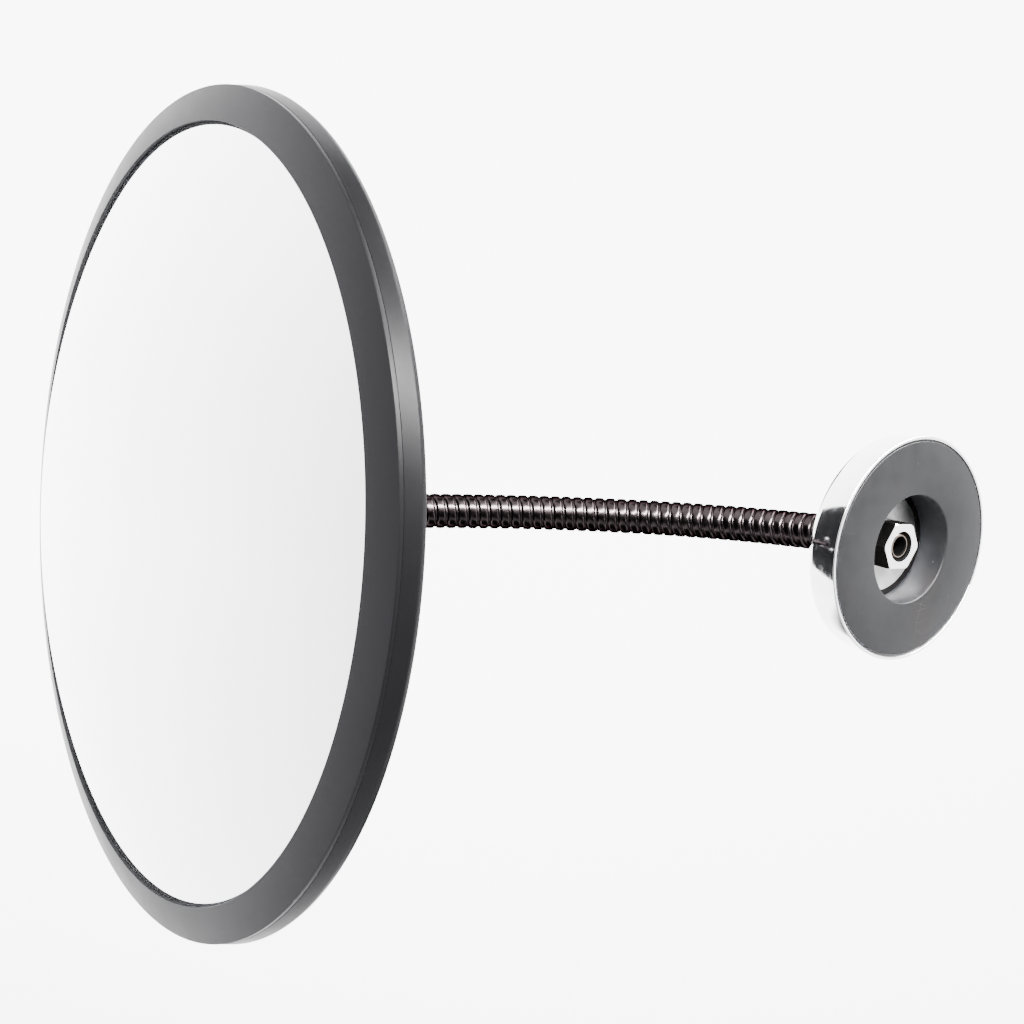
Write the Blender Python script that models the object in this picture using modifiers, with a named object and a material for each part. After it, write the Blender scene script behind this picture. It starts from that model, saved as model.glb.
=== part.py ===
"""Convex observation mirror on a flexible neck with a magnetic foot.

The object's own frame: the origin is the centre of the magnet's contact face, +Y is that
face's outward normal and +Z is up. The neck leaves the foot along -Y and bends round until
the mirror faces along +X. Lengths are in metres and angles in degrees.
"""

import math

import bmesh
import bpy
from mathutils import Matrix, Vector

MM = 0.001
GAP = 0.3 * MM

# Head: radii and heights along the mirror's axis, measured from the bezel's outer corner.
HEAD_CENTRE = Vector((199.2, -164.9, -17.8)) * MM
HEAD_AZIMUTH = -1.2
HEAD_ELEVATION = 0.6
CORNER_RADIUS = 150.0 * MM
BEZEL_EDGE = 0.8 * MM
BEZEL_PARTING = -1.1 * MM
LIP_RADIUS = 137.3 * MM
LIP_HEIGHT = 4.0 * MM
LIP_WALL_END = 2.75 * MM
DOME_RADIUS = 335.0 * MM
DOME_EDGE_RADIUS = 140.5 * MM
LENS_FLANGE_RADIUS = 144.2 * MM
LENS_FLANGE_TOP = 0.94 * MM
LENS_THICKNESS = 2.0 * MM
SPIGOT_RADIUS = 147.7 * MM
SPIGOT_END = -5.2 * MM
GASKET_RADIUS = 143.2 * MM
GASKET_INNER = 139.6 * MM
GASKET_BOTTOM = -4.0 * MM
LEDGE_RADIUS = 143.4 * MM
LEDGE_INNER = 139.4 * MM
LEDGE_TOP = -4.3 * MM
SHELL_RADIUS = 151.0 * MM
SHELL_WALL = 2.4 * MM
RIM_INNER = 148.1 * MM
RIM_TOP = -1.45 * MM
GROOVE_FLOOR = -6.9 * MM
DISH_EDGE = -8.9 * MM
DISH_FOOT_RADIUS = 39.0 * MM
DISH_FOOT = -17.0 * MM
BOSS_RADIUS = 27.0 * MM
BOSS_FACE = -20.0 * MM
BOSS_THICKNESS = 4.0 * MM
HUB_SCREW_COUNT = 3
HUB_SCREW_CIRCLE = 18.0 * MM
HUB_SCREW_RADIUS = 1.5 * MM
HUB_SCREW_TIP = 2.6 * MM
HUB_SCREW_HEAD_RADIUS = 2.9 * MM
HUB_SCREW_HEAD_HEIGHT = 1.9 * MM
HUB_PLATE_RADIUS = 24.0 * MM
HUB_PLATE_THICKNESS = 1.5 * MM
SEAL_RADIUS = 12.0 * MM
SEAL_THICKNESS = 1.5 * MM
LOCK_WASHER_RADIUS = 8.6 * MM
LOCK_WASHER_THICKNESS = 1.6 * MM
NIPPLE_PROUD = 1.0 * MM

# Foot: heights along the magnet's axis, measured from its contact face.
CUP_RADIUS = 40.0 * MM
CUP_HEIGHT = 14.3 * MM
CUP_WALL = 1.1 * MM
CUP_FLOOR = 1.5 * MM
FERRITE_RADIUS = 37.8 * MM
FERRITE_BORE = 19.3 * MM

# M10 fittings at both ends of the neck.
THREAD_RADIUS = 5.0 * MM
NIPPLE_RADIUS = THREAD_RADIUS - GAP
NIPPLE_BORE = 3.3 * MM
NUT_ACROSS_FLATS = 16.0 * MM
NUT_HEIGHT = 8.0 * MM
FERRULE_RADIUS = 8.6 * MM
FERRULE_LENGTH = 11.0 * MM
SOCKET_RADIUS = 7.5 * MM
SOCKET_DEPTH = 5.0 * MM

# Neck: an outer coil over an inner one, along one smooth curve, cut into links at its joints.
NECK_START = Vector((0, -21.0, 0)) * MM
NECK_SETBACK = 29.0 * MM
NECK_HANDLE = 90.0 * MM
NECK_DROOP = -5.3
NECK_RISE = -2.4
JOINT_COUNT = 12
CURVE_SAMPLES = 600
COIL_RADIUS = 6.8 * MM
GROOVE_RADIUS = 6.1 * MM
COIL_BORE = 5.0 * MM
INNER_COIL_RADIUS = COIL_BORE - GAP
INNER_COIL_BORE = 3.5 * MM
LINK_CLEARANCE = 1.45 * MM
INNER_CLEARANCE = 1.15 * MM
RINGS_PER_LINK = 4
RING_GROOVE = 1.3 * MM
RING_BEVEL = 0.4 * MM

# Steps round each turned shape.
HEAD_STEPS = 48
CUP_STEPS = 40
FITTING_STEPS = 20
COIL_STEPS = 12
INNER_STEPS = 10
DOME_POINTS = 6

MERGE = 0.00001
OVERCUT = 1.0 * MM


def clear_scene():
    for obj in list(bpy.data.objects):
        bpy.data.objects.remove(obj, do_unlink=True)


def new_collection(name):
    collection = bpy.data.collections.new(name)
    bpy.context.scene.collection.children.link(collection)
    return collection


def new_material(name, colour, roughness, metallic):
    material = bpy.data.materials.new(name)
    material.use_nodes = True
    shader = material.node_tree.nodes["Principled BSDF"]
    shader.inputs["Base Color"].default_value = (*colour, 1.0)
    shader.inputs["Roughness"].default_value = roughness
    shader.inputs["Metallic"].default_value = metallic
    return material


clear_scene()
PARTS = new_collection("convex_security_mirror")
CUTTERS = new_collection("cutters")

SILVERED = new_material("silvered_acrylic", (0.92, 0.93, 0.94), 0.03, 1.0)
GREY_PLASTIC = new_material("grey_plastic", (0.10, 0.10, 0.11), 0.45, 0.0)
FOAM = new_material("foam", (0.03, 0.03, 0.03), 0.9, 0.0)
CHROME = new_material("chrome", (0.80, 0.80, 0.82), 0.08, 1.0)
ZINC = new_material("zinc", (0.72, 0.72, 0.72), 0.25, 1.0)
STEEL = new_material("steel", (0.45, 0.45, 0.46), 0.35, 1.0)
FERRITE = new_material("ferrite", (0.17, 0.17, 0.18), 0.45, 0.0)
RESIN = new_material("resin", (0.02, 0.02, 0.02), 0.5, 0.0)
BLACK_STEEL = new_material("black_steel", (0.02, 0.02, 0.02), 0.2, 0.0)


def direction(azimuth, elevation):
    """The unit vector at this azimuth from +X and this elevation above the XY plane."""
    a = math.radians(azimuth)
    e = math.radians(elevation)
    return Vector((math.cos(e) * math.cos(a), math.cos(e) * math.sin(a), math.sin(e)))


def new_frame(name, origin, axis):
    """An empty at origin whose local +Z runs along axis; the pieces of one body hang on it."""
    frame = bpy.data.objects.new(name, None)
    PARTS.objects.link(frame)
    frame.rotation_mode = "QUATERNION"
    frame.rotation_quaternion = axis.to_track_quat("Z", "Y")
    frame.location = origin
    return frame


def new_object(name, mesh, material, frame, collection=None):
    obj = bpy.data.objects.new(name, mesh)
    (collection or PARTS).objects.link(obj)
    obj.parent = frame
    if material:
        mesh.materials.append(material)
    return obj


def shade(obj):
    obj.data.shade_smooth()
    obj.data.set_sharp_from_angle(angle=math.radians(30))


def turned(name, profile, steps, material, frame, closed=True, collection=None):
    """A profile of (radius, height) points turned about local Z; it runs down its outer side."""
    mesh = bpy.data.meshes.new(name)
    count = len(profile)
    edges = [(i, i + 1) for i in range(count - 1)]
    if closed:
        edges.append((count - 1, 0))
    mesh.from_pydata([(radius, 0.0, height) for radius, height in profile], edges, [])
    obj = new_object(name, mesh, material, frame, collection)
    screw = obj.modifiers.new("turn", "SCREW")
    screw.steps = steps
    screw.render_steps = steps
    screw.use_merge_vertices = True
    screw.merge_threshold = MERGE
    screw.use_smooth_shade = True
    return obj


def ring(name, outer, inner, top, bottom, steps, material, frame):
    """A plain ring of rectangular section."""
    profile = [(inner, top), (outer, top), (outer, bottom), (inner, bottom)]
    return turned(name, profile, steps, material, frame)


def prism(name, sides, radius, bottom, top, material, frame, centre=(0.0, 0.0), turn=0.0, collection=None):
    """A solid prism or cylinder along local Z."""
    mesh = bpy.data.meshes.new(name)
    body = bmesh.new()
    place = Matrix.Translation((*centre, (bottom + top) / 2)) @ Matrix.Rotation(turn, 4, "Z")
    bmesh.ops.create_cone(
        body, cap_ends=True, segments=sides, radius1=radius, radius2=radius, depth=top - bottom, matrix=place
    )
    body.to_mesh(mesh)
    body.free()
    return new_object(name, mesh, material, frame, collection)


def block(name, size, centre, frame):
    """A box cutter."""
    mesh = bpy.data.meshes.new(name)
    body = bmesh.new()
    bmesh.ops.create_cube(body, size=1.0, matrix=Matrix.Translation(centre) @ Matrix.Diagonal((*size, 1.0)))
    body.to_mesh(mesh)
    body.free()
    return new_object(name, mesh, None, frame, CUTTERS)


def boolean(obj, other, operation="DIFFERENCE"):
    other.hide_render = True
    other.display_type = "WIRE"
    modifier = obj.modifiers.new(other.name, "BOOLEAN")
    modifier.operation = operation
    modifier.solver = "EXACT"
    modifier.object = other


def drill(obj, radius, centre, bottom, top, sides=12):
    """A hole through obj along local Z."""
    name = f"{obj.name}_hole_{len(obj.modifiers)}"
    boolean(obj, prism(name, sides, radius, bottom, top, None, obj.parent, centre, collection=CUTTERS))


def around(count, radius, start=90.0):
    """Points evenly spaced on a circle about local Z."""
    for i in range(count):
        angle = math.radians(start + 360.0 * i / count)
        yield radius * math.cos(angle), radius * math.sin(angle)


def dome_arc(radius, edge, base, points):
    """(radius, height) points of a spherical cap, from its apex to its edge at height base."""
    edge_angle = math.asin(edge / radius)
    centre = base - radius * math.cos(edge_angle)
    for i in range(points + 1):
        angle = edge_angle * i / points
        yield radius * math.sin(angle), centre + radius * math.cos(angle)


# The mirror's head


def mirror_lens(frame):
    """The silvered acrylic dome, drawn from one sheet with a flat flange round it."""
    under = LENS_FLANGE_TOP - LENS_THICKNESS
    outer = list(dome_arc(DOME_RADIUS, DOME_EDGE_RADIUS, LENS_FLANGE_TOP, DOME_POINTS))
    inner = list(dome_arc(DOME_RADIUS - LENS_THICKNESS, DOME_EDGE_RADIUS - LENS_THICKNESS / 2, under, DOME_POINTS))
    flange = [(LENS_FLANGE_RADIUS, LENS_FLANGE_TOP), (LENS_FLANGE_RADIUS, under)]
    turned("mirror_lens", outer + flange + inner[::-1], HEAD_STEPS, SILVERED, frame, closed=False)


def front_bezel(frame):
    """The front ring: a sloping band with a lip over the lens and a spigot into the back shell."""
    seat = LENS_FLANGE_TOP + GAP
    spigot_inner = LENS_FLANGE_RADIUS + 2 * GAP
    profile = [
        (LIP_RADIUS, LIP_HEIGHT - BEZEL_EDGE / 2),
        (LIP_RADIUS + BEZEL_EDGE / 2, LIP_HEIGHT),
        (CORNER_RADIUS - BEZEL_EDGE, BEZEL_EDGE),
        (CORNER_RADIUS, 0.0),
        (CORNER_RADIUS, BEZEL_PARTING),
        (SPIGOT_RADIUS, BEZEL_PARTING),
        (SPIGOT_RADIUS, SPIGOT_END),
        (spigot_inner, SPIGOT_END),
        (spigot_inner, seat),
        (DOME_EDGE_RADIUS, seat),
        (LIP_RADIUS, LIP_WALL_END),
    ]
    turned("front_bezel", profile, HEAD_STEPS, GREY_PLASTIC, frame)


def lens_gasket(frame):
    """The foam ring that presses the lens's flange up against the bezel."""
    top = LENS_FLANGE_TOP - LENS_THICKNESS - GAP
    ring("lens_gasket", GASKET_RADIUS, GASKET_INNER, top, GASKET_BOTTOM, HEAD_STEPS, FOAM, frame)


def back_shell(frame):
    """The back cover: a rounded rim wall, a shallow dish and a thick boss for the neck."""
    boss_inner = BOSS_FACE + BOSS_THICKNESS
    profile = [
        (RIM_INNER, RIM_TOP),
        (CORNER_RADIUS + 0.2 * MM, RIM_TOP),
        (SHELL_RADIUS, -6.6 * MM),
        (SHELL_RADIUS - 0.5 * MM, -8.0 * MM),
        (SHELL_RADIUS - 2.0 * MM, DISH_EDGE),
        (DISH_FOOT_RADIUS, DISH_FOOT),
        (BOSS_RADIUS + 2.0 * MM, BOSS_FACE),
        (THREAD_RADIUS + GAP, BOSS_FACE),
        (THREAD_RADIUS + GAP, boss_inner),
        (BOSS_RADIUS, boss_inner),
        (DISH_FOOT_RADIUS, DISH_FOOT + SHELL_WALL),
        (LEDGE_INNER, DISH_EDGE - 0.6 * MM + SHELL_WALL),
        (LEDGE_INNER, LEDGE_TOP),
        (LEDGE_RADIUS, LEDGE_TOP),
        (LEDGE_RADIUS, GROOVE_FLOOR),
        (RIM_INNER, GROOVE_FLOOR),
    ]
    shell = turned("back_shell", profile, HEAD_STEPS, GREY_PLASTIC, frame)
    for centre in around(HUB_SCREW_COUNT, HUB_SCREW_CIRCLE):
        drill(shell, HUB_SCREW_RADIUS + GAP, centre, BOSS_FACE - OVERCUT, boss_inner + OVERCUT)


def hub_plate(frame):
    """The steel plate inside the boss that spreads the neck's load, held by its own screws."""
    bottom = BOSS_FACE + BOSS_THICKNESS + GAP
    top = bottom + HUB_PLATE_THICKNESS
    plate = ring("hub_plate", HUB_PLATE_RADIUS, THREAD_RADIUS + GAP, top, bottom, 2 * FITTING_STEPS, STEEL, frame)
    for centre in around(HUB_SCREW_COUNT, HUB_SCREW_CIRCLE):
        drill(plate, HUB_SCREW_RADIUS + GAP, centre, bottom - OVERCUT, top + OVERCUT)


def hub_screws(frame):
    """Pan-head screws through the boss into the hub plate, with a driver's slot."""
    head = BOSS_FACE - GAP
    crown = head - HUB_SCREW_HEAD_HEIGHT
    tip = BOSS_FACE + BOSS_THICKNESS + HUB_SCREW_TIP
    for i, centre in enumerate(around(HUB_SCREW_COUNT, HUB_SCREW_CIRCLE)):
        profile = [
            (0.0, tip),
            (HUB_SCREW_RADIUS, tip - 0.4 * MM),
            (HUB_SCREW_RADIUS, head),
            (HUB_SCREW_HEAD_RADIUS, head),
            (HUB_SCREW_HEAD_RADIUS, (head + crown) / 2),
            (HUB_SCREW_HEAD_RADIUS - 0.8 * MM, crown),
            (0.0, crown),
        ]
        screw = turned(f"hub_screw_{i + 1}", profile, FITTING_STEPS // 2, ZINC, frame, closed=False)
        screw.location = (*centre, 0.0)
        slot_size = (8.0 * MM, 0.8 * MM, 2.0 * MM)
        slot = block(f"hub_screw_slot_{i + 1}", slot_size, (*centre, crown), frame)
        boolean(screw, slot)


# Threaded fittings, the same at both ends


def hex_nut(name, bottom, frame):
    """An M10 hexagon nut with chamfered corners and a plain bore."""
    top = bottom + NUT_HEIGHT
    corner = NUT_ACROSS_FLATS / math.sqrt(3)
    flat = NUT_ACROSS_FLATS / 2
    drop = (corner - flat) * math.tan(math.radians(30))
    nut = prism(name, 6, corner, bottom, top, ZINC, frame, turn=math.radians(30))
    chamfer = [
        (0.0, top),
        (flat * 0.97, top),
        (corner + OVERCUT, top - drop - OVERCUT * 0.7),
        (corner + OVERCUT, bottom + drop + OVERCUT * 0.7),
        (flat * 0.97, bottom),
        (0.0, bottom),
    ]
    barrel = turned(f"{name}_barrel", chamfer, 2 * FITTING_STEPS, None, frame, closed=False, collection=CUTTERS)
    boolean(nut, barrel, "INTERSECT")
    drill(nut, THREAD_RADIUS, (0.0, 0.0), bottom - OVERCUT, top + OVERCUT, FITTING_STEPS)


def nipple(name, top, bottom, frame):
    """The hollow threaded tube that the nut clamps, crimped to the neck's ferrule."""
    chamfer = 0.6 * MM
    profile = [
        (NIPPLE_BORE, top),
        (NIPPLE_RADIUS - chamfer, top),
        (NIPPLE_RADIUS, top - chamfer),
        (NIPPLE_RADIUS, bottom),
        (NIPPLE_BORE, bottom),
    ]
    turned(name, profile, FITTING_STEPS, ZINC, frame)


def ferrule(name, top, frame):
    """The collar between a fitting and the neck: a bore for the nipple and a socket for the coil."""
    bottom = top - FERRULE_LENGTH
    chamfer = 0.7 * MM
    profile = [
        (THREAD_RADIUS, top),
        (FERRULE_RADIUS - chamfer, top),
        (FERRULE_RADIUS, top - chamfer),
        (FERRULE_RADIUS, bottom + chamfer),
        (FERRULE_RADIUS - chamfer, bottom),
        (SOCKET_RADIUS, bottom),
        (SOCKET_RADIUS, bottom + SOCKET_DEPTH),
        (THREAD_RADIUS, bottom + SOCKET_DEPTH),
    ]
    turned(name, profile, FITTING_STEPS, BLACK_STEEL, frame)


def lock_washer(name, top, bottom, frame):
    """A split spring washer."""
    washer = ring(name, LOCK_WASHER_RADIUS, THREAD_RADIUS + GAP, top, bottom, FITTING_STEPS, ZINC, frame)
    middle = (7.0 * MM, 0.0, (top + bottom) / 2)
    boolean(washer, block(f"{name}_split", (6.0 * MM, 1.2 * MM, 6.0 * MM), middle, frame))


def head_fittings(frame):
    """What fastens the neck to the back shell, from inside the head outwards."""
    plate_top = BOSS_FACE + BOSS_THICKNESS + GAP + HUB_PLATE_THICKNESS
    washer_bottom = plate_top + GAP
    washer_top = washer_bottom + LOCK_WASHER_THICKNESS
    nut_bottom = washer_top + GAP
    lock_washer("head_lock_washer", washer_top, washer_bottom, frame)
    hex_nut("head_nut", nut_bottom, frame)
    seal_top = BOSS_FACE - GAP
    seal_bottom = seal_top - SEAL_THICKNESS
    ring("head_seal_washer", SEAL_RADIUS, THREAD_RADIUS + GAP, seal_top, seal_bottom, FITTING_STEPS, RESIN, frame)
    ferrule_top = seal_bottom - GAP
    ferrule("head_ferrule", ferrule_top, frame)
    nipple_bottom = ferrule_top - FERRULE_LENGTH + SOCKET_DEPTH + GAP
    nipple("head_nipple", nut_bottom + NUT_HEIGHT + NIPPLE_PROUD, nipple_bottom, frame)


# The magnetic foot


def magnet_cup(frame):
    """The pressed steel cup that holds the magnet and carries its field to the contact face."""
    inner = CUP_RADIUS - CUP_WALL
    floor = -CUP_HEIGHT + CUP_FLOOR
    profile = [
        (inner, 0.0),
        (CUP_RADIUS - 0.3 * MM, 0.0),
        (CUP_RADIUS, -0.4 * MM),
        (CUP_RADIUS - 0.6 * MM, -10.2 * MM),
        (CUP_RADIUS - 1.3 * MM, -12.4 * MM),
        (CUP_RADIUS - 2.9 * MM, -13.8 * MM),
        (CUP_RADIUS - 4.8 * MM, -CUP_HEIGHT),
        (THREAD_RADIUS + GAP, -CUP_HEIGHT),
        (THREAD_RADIUS + GAP, floor),
        (inner - 1.6 * MM, floor),
        (inner - 0.3 * MM, floor + 1.4 * MM),
    ]
    turned("magnet_cup", profile, CUP_STEPS, CHROME, frame)


def ferrite_ring(frame):
    """The ring magnet, flush with the cup's rim."""
    bottom = -CUP_HEIGHT + CUP_FLOOR + GAP
    edge = 0.4 * MM
    profile = [
        (FERRITE_BORE, -edge),
        (FERRITE_BORE + edge, 0.0),
        (FERRITE_RADIUS, 0.0),
        (FERRITE_RADIUS, bottom + 2 * edge),
        (FERRITE_RADIUS - 2 * edge, bottom),
        (FERRITE_BORE, bottom),
    ]
    turned("ferrite_ring", profile, CUP_STEPS, FERRITE, frame)


def resin_ring(frame):
    """The adhesive that fills the gap between the magnet and the cup's wall."""
    outer = FERRITE_RADIUS + 0.6 * MM
    inner = FERRITE_RADIUS + 0.2 * MM
    ring("resin_ring", outer, inner, -0.5 * MM, -CUP_HEIGHT + 4.2 * MM, CUP_STEPS, RESIN, frame)


def foot_fittings(frame):
    """The nut in the magnet's recess, the nipple through the cup, and the neck's ferrule."""
    nut_bottom = -CUP_HEIGHT + CUP_FLOOR + GAP
    hex_nut("base_nut", nut_bottom, frame)
    ferrule_top = -CUP_HEIGHT - GAP
    ferrule("base_ferrule", ferrule_top, frame)
    nipple_bottom = ferrule_top - FERRULE_LENGTH + SOCKET_DEPTH + GAP
    nipple("base_nipple", nut_bottom + NUT_HEIGHT - 0.8 * MM, nipple_bottom, frame)


# The neck


def neck_curve():
    """Points along the neck's centre line, a cubic curve that is tangent to both fittings."""
    end = HEAD_CENTRE - NECK_SETBACK * direction(HEAD_AZIMUTH, HEAD_ELEVATION)
    leave = NECK_START + NECK_HANDLE * direction(-90.0, NECK_DROOP)
    arrive = end - NECK_HANDLE * direction(HEAD_AZIMUTH, NECK_RISE)
    points = []
    for i in range(CURVE_SAMPLES + 1):
        t = i / CURVE_SAMPLES
        s = 1 - t
        points.append(s**3 * NECK_START + 3 * s * s * t * leave + 3 * s * t * t * arrive + t**3 * end)
    return points


def neck_stations():
    """The neck's two ends with its joints between them, evenly spaced along its length."""
    points = neck_curve()
    travelled = [0.0]
    for a, b in zip(points, points[1:]):
        travelled.append(travelled[-1] + (b - a).length)
    wanted = [travelled[-1] * (i + 0.5) / JOINT_COUNT for i in range(JOINT_COUNT)]
    stations = [points[0]]
    for distance in wanted:
        i = next(k for k, so_far in enumerate(travelled) if so_far >= distance)
        share = (distance - travelled[i - 1]) / (travelled[i] - travelled[i - 1])
        stations.append(points[i - 1].lerp(points[i], share))
    stations.append(points[-1])
    return stations


def coil_profile(bottom, top, rings):
    """A sleeve's profile with broad rings and a V groove between each two, run down its outer side."""
    pitch = (top - bottom) / rings
    profile = [(COIL_BORE, top), (COIL_RADIUS - RING_BEVEL, top), (COIL_RADIUS, top - RING_BEVEL)]
    for i in range(1, rings):
        groove = top - pitch * i
        profile.append((COIL_RADIUS, groove + RING_GROOVE / 2))
        profile.append((GROOVE_RADIUS, groove))
        profile.append((COIL_RADIUS, groove - RING_GROOVE / 2))
    profile.append((COIL_RADIUS, bottom + RING_BEVEL))
    profile.append((COIL_RADIUS - RING_BEVEL, bottom))
    profile.append((COIL_BORE, bottom))
    return profile


def neck():
    """Every link of the neck; its first and last lengths are held in the two ferrules."""
    stations = neck_stations()
    for i in range(JOINT_COUNT + 1):
        start, end = stations[i], stations[i + 1]
        length = (end - start).length
        link = new_frame(f"neck_link_{i:02d}", start, end - start)
        low, inner_low = (GAP, GAP) if i == 0 else (LINK_CLEARANCE, INNER_CLEARANCE)
        cut, inner_cut = (GAP, GAP) if i == JOINT_COUNT else (LINK_CLEARANCE, INNER_CLEARANCE)
        rings = RINGS_PER_LINK // 2 if i in (0, JOINT_COUNT) else RINGS_PER_LINK
        profile = coil_profile(low, length - cut, rings)
        turned(f"outer_coil_{i:02d}", profile, COIL_STEPS, BLACK_STEEL, link)
        name = f"inner_coil_{i:02d}"
        ring(name, INNER_COIL_RADIUS, INNER_COIL_BORE, length - inner_cut, inner_low, INNER_STEPS, STEEL, link)


def build():
    head = new_frame("head_frame", HEAD_CENTRE, direction(HEAD_AZIMUTH, HEAD_ELEVATION))
    mirror_lens(head)
    front_bezel(head)
    lens_gasket(head)
    back_shell(head)
    hub_plate(head)
    hub_screws(head)
    head_fittings(head)
    foot = new_frame("foot_frame", Vector((0.0, 0.0, 0.0)), Vector((0.0, 1.0, 0.0)))
    magnet_cup(foot)
    ferrite_ring(foot)
    resin_ring(foot)
    foot_fittings(foot)
    neck()
    bpy.context.view_layer.update()
    for obj in PARTS.objects:
        if obj.type == "MESH" and not obj.modifiers:
            shade(obj)


build()
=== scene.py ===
"""The looks of the convex observation mirror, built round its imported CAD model.

Everything is in metres, in the CAD's frame: the origin is the centre of the magnet's contact
face, +Y is that face's outward normal and +Z is up. The head's pieces are drawn about its own
axis, which starts level with the bezel's outer corner and points out of the glass.
"""

import math

import bmesh
import bpy
from mathutils import Matrix, Vector


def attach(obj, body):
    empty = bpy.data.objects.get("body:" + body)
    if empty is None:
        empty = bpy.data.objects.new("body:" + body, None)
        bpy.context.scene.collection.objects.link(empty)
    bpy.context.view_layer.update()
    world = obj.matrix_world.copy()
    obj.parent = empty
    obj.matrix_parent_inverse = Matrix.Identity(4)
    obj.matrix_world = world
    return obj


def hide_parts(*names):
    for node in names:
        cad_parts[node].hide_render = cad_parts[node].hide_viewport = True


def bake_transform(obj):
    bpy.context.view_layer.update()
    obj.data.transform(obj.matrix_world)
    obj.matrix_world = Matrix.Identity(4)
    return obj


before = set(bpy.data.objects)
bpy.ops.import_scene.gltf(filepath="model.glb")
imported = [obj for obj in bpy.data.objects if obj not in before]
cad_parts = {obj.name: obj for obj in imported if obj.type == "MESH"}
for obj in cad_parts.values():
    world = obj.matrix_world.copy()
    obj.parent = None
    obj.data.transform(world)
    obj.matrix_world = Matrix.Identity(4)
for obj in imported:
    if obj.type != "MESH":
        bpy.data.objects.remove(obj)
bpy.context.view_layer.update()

MM = 0.001
ON_AXIS = 1e-7
SHARP_ANGLE = 38.0
LENS_SEGMENTS = 256
HEAD_SEGMENTS = 288
FOOT_SEGMENTS = 256
FITTING_SEGMENTS = 96

# Head
HEAD_CENTRE = Vector((199.2, -164.9, -17.8)) * MM
HEAD_AZIMUTH = -1.2
HEAD_ELEVATION = 0.6
CORNER_RADIUS = 150.0 * MM
BEZEL_PARTING = -1.1 * MM
LIP_RADIUS = 137.3 * MM
LIP_HEIGHT = 4.0 * MM
LIP_WALL_END = 2.52 * MM
DOME_RADIUS = 335.0 * MM
DOME_EDGE_RADIUS = 140.5 * MM
LENS_FLANGE_RADIUS = 144.2 * MM
LENS_FLANGE_TOP = 0.94 * MM
LENS_THICKNESS = 2.0 * MM
SPIGOT_RADIUS = 147.7 * MM
SPIGOT_INNER = 144.8 * MM
SPIGOT_END = -5.2 * MM
LEDGE_RADIUS = 143.4 * MM
LEDGE_INNER = 139.4 * MM
LEDGE_TOP = -4.3 * MM
SHELL_RADIUS = 151.0 * MM
SHELL_WALL = 2.4 * MM
RIM_INNER = 148.1 * MM
MATTE_INSET = 2.4 * MM
PARTING_LINE = 0.06 * MM
GROOVE_FLOOR = -6.9 * MM
DISH_EDGE = -8.9 * MM
DISH_STEP_RADIUS = 118.0 * MM
DISH_STEP = -11.0 * MM
DISH_FOOT_RADIUS = 39.0 * MM
DISH_FOOT = -17.0 * MM
BOSS_RADIUS = 27.0 * MM
BOSS_FACE = -20.0 * MM
BOSS_THICKNESS = 4.0 * MM
HUB_SCREW_COUNT = 3
HUB_SCREW_CIRCLE = 18.0 * MM
HUB_SCREW_RADIUS = 1.5 * MM
HUB_SCREW_HEAD_RADIUS = 2.9 * MM
HUB_SCREW_HEAD_HEIGHT = 1.9 * MM
HUB_SCREW_DOME = 1.2 * MM
HUB_PLATE_THICKNESS = 1.5 * MM
LOCK_WASHER_THICKNESS = 1.6 * MM
SEAL_RADIUS = 12.0 * MM
SEAL_THICKNESS = 1.5 * MM

# Foot
CUP_RADIUS = 40.0 * MM
CUP_HEIGHT = 14.3 * MM
CUP_WALL = 1.1 * MM
CUP_FLOOR = 1.5 * MM
CUP_TAPER = 1.3 * MM
CUP_BACK_FILLET = 4.2 * MM
FERRITE_RADIUS = 38.15 * MM
FERRITE_BORE = 19.3 * MM
RESIN_GAP = 0.04 * MM
RESIN_TOP = -0.6 * MM
BEAD_GAP = 0.02 * MM
BEAD_WIDTH = 1.6 * MM
BEAD_HEIGHT = 0.9 * MM

# M10 fittings
THREAD_RADIUS = 5.0 * MM
THREAD_PITCH = 1.0 * MM
THREAD_CREST = 0.35 * MM
THREAD_ROOT = 0.9 * MM
NIPPLE_BORE = 3.3 * MM
NUT_ACROSS_FLATS = 16.0 * MM
NUT_HEIGHT = 8.0 * MM
NUT_CHAMFER_CIRCLE = 1.09
NUT_CHAMFER_LEAST = 0.12 * MM
NUT_SINK_WIDTH = 0.5 * MM
NUT_SINK_DEPTH = 0.7 * MM
NUT_BORE_INSET = 0.2 * MM
NUT_SHARP_ANGLE = 20.0
FERRULE_RADIUS = 8.6 * MM
FERRULE_LENGTH = 11.0 * MM
CRIMP_PLACE = 3.6 * MM
CRIMP_HALF = 0.9 * MM
CRIMP_DEPTH = 0.45 * MM
SOCKET_RADIUS = 7.5 * MM
SOCKET_DEPTH = 5.0 * MM
GAP = 0.3 * MM

# Neck
NECK_START = Vector((0, -21.0, 0)) * MM
NECK_SETBACK = 29.0 * MM
NECK_HANDLE = 90.0 * MM
NECK_DROOP = -5.3
NECK_RISE = -2.4
JOINT_COUNT = 12
COIL_RADIUS = 6.8 * MM
COIL_TURNS = 56
STEPS_PER_TURN = 36
BEND_INSET = 1.5 * MM
WIDE_HALF = 1.72 * MM
WIDE_INNER = 5.2 * MM
ROUND_RADIUS = 0.8 * MM
ROUND_MIDDLE = 5.4 * MM

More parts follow.
